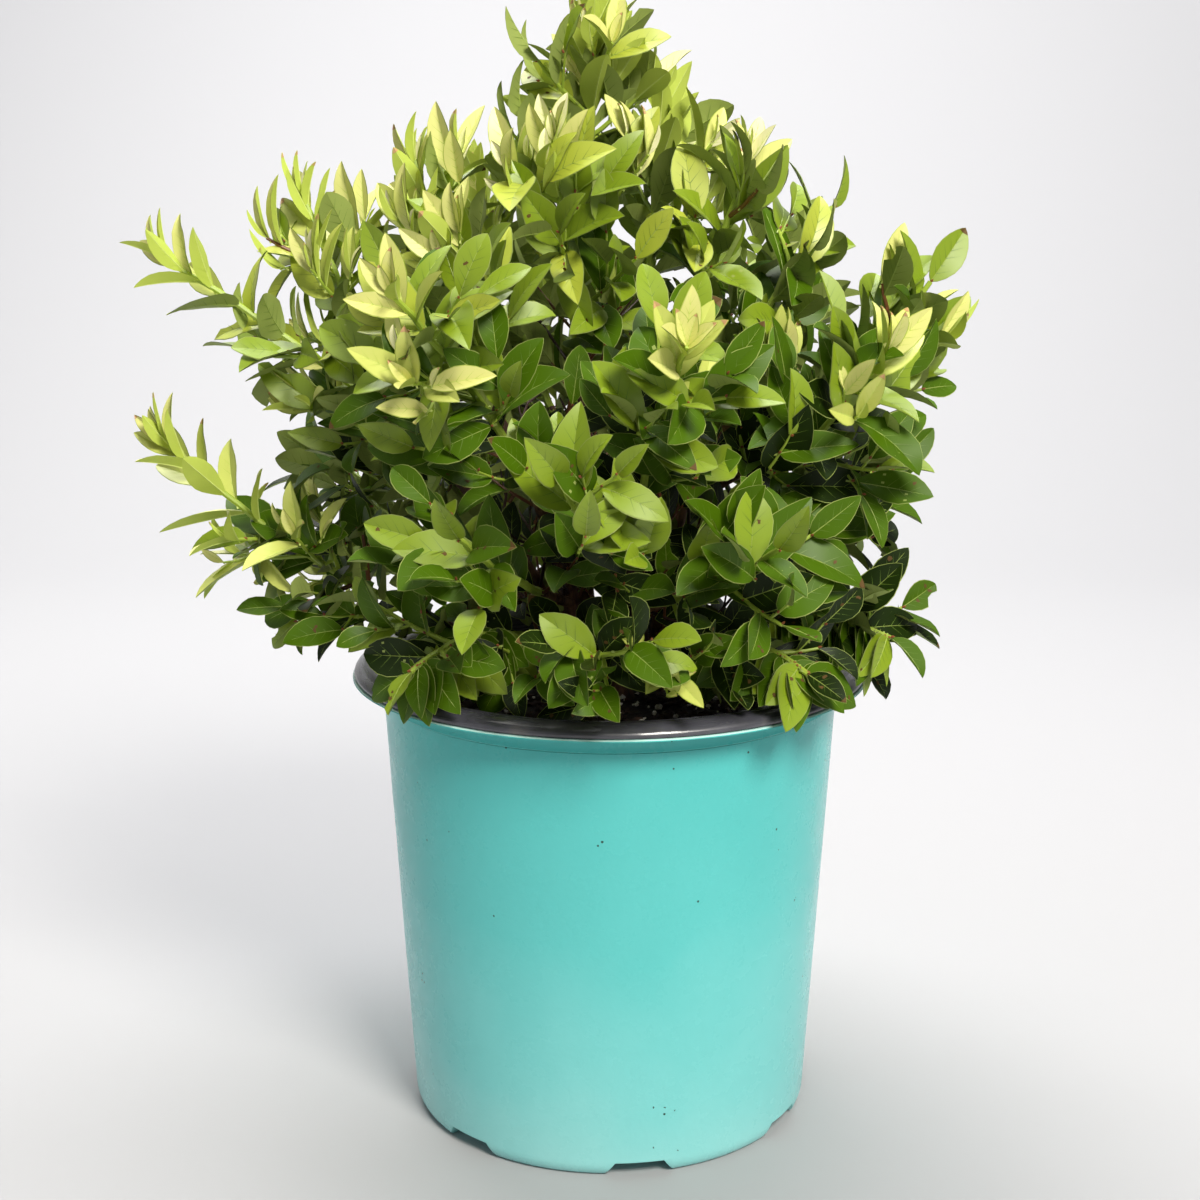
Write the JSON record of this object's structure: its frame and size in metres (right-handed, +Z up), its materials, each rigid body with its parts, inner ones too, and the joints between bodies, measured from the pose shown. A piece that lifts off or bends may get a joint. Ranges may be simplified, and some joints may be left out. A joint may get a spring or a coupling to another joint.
{
  "type": "blueberry bush in a pot",
  "caption": "Compact leafy blueberry shrub of woody canes, forking boughs and masses of leafy twigs, standing in a round tapered nursery pot filled with potting mix.",
  "frame": {"origin": "middle of the pot's flat underside", "axes": "+Z up along the pot's axis, the front of the plant faces -Y, +X to its right"},
  "size_m": [0.4287, 0.3943, 0.5793],
  "materials": {
    "pot_wall": "semi-gloss turquoise blow-moulded plastic, slightly chalky low down",
    "pot_lip": "glossy black plastic rolled lip",
    "potting_mix": "dark damp bark and peat mix with white perlite",
    "bark": "thin reddish brown flaking bark",
    "foliage": "leathery, slightly glossy dark green leaves with yellow-green new growth"
  },
  "bodies": {
    "root": {"bough_east_high": "bark", "bough_east_low": "bark", "bough_east_mid": "bark", "bough_north_east_high": "bark", "bough_north_east_low": "bark", "bough_north_high": "bark", "bough_north_low": "bark", "bough_north_west_low": "bark", "bough_south_east_high": "bark", "bough_south_east_low": "bark", "bough_south_east_mid": "bark", "bough_south_low": "bark", "bough_south_mid": "bark", "bough_south_west_low": "bark", "bough_south_west_mid": "bark", "bough_top_north_west": "bark", "bough_top_south": "bark", "bough_top_south_east": "bark", "bough_top_west": "bark", "bough_west_back": "bark", "bough_west_low": "bark", "bough_west_top": "bark", "cane_east": "bark", "cane_north_east": "bark", "cane_north_west": "bark", "cane_south": "bark", "cane_south_west": "bark", "cane_west": "bark", "leaves_east_high": "foliage", "leaves_east_low": "foliage", "leaves_east_mid": "foliage", "leaves_north_east_high": "foliage", "leaves_north_east_low": "foliage", "leaves_north_high": "foliage", "leaves_north_low": "foliage", "leaves_north_west_low": "foliage", "leaves_south_east_high": "foliage", "leaves_south_east_low": "foliage", "leaves_south_east_mid": "foliage", "leaves_south_high": "foliage", "leaves_south_low": "foliage", "leaves_south_mid": "foliage", "leaves_south_west_high": "foliage", "leaves_south_west_low": "foliage", "leaves_south_west_mid": "foliage", "leaves_summit": "foliage", "leaves_top_back": "foliage", "leaves_top_east": "foliage", "leaves_top_north_west": "foliage", "leaves_top_south": "foliage", "leaves_top_south_east": "foliage", "leaves_top_west": "foliage", "leaves_west_back": "foliage", "leaves_west_high": "foliage", "leaves_west_low": "foliage", "leaves_west_top": "foliage", "pot": "pot_wall", "pot_lip": "pot_lip", "soil": "potting_mix"}
  },
  "joints": []
}
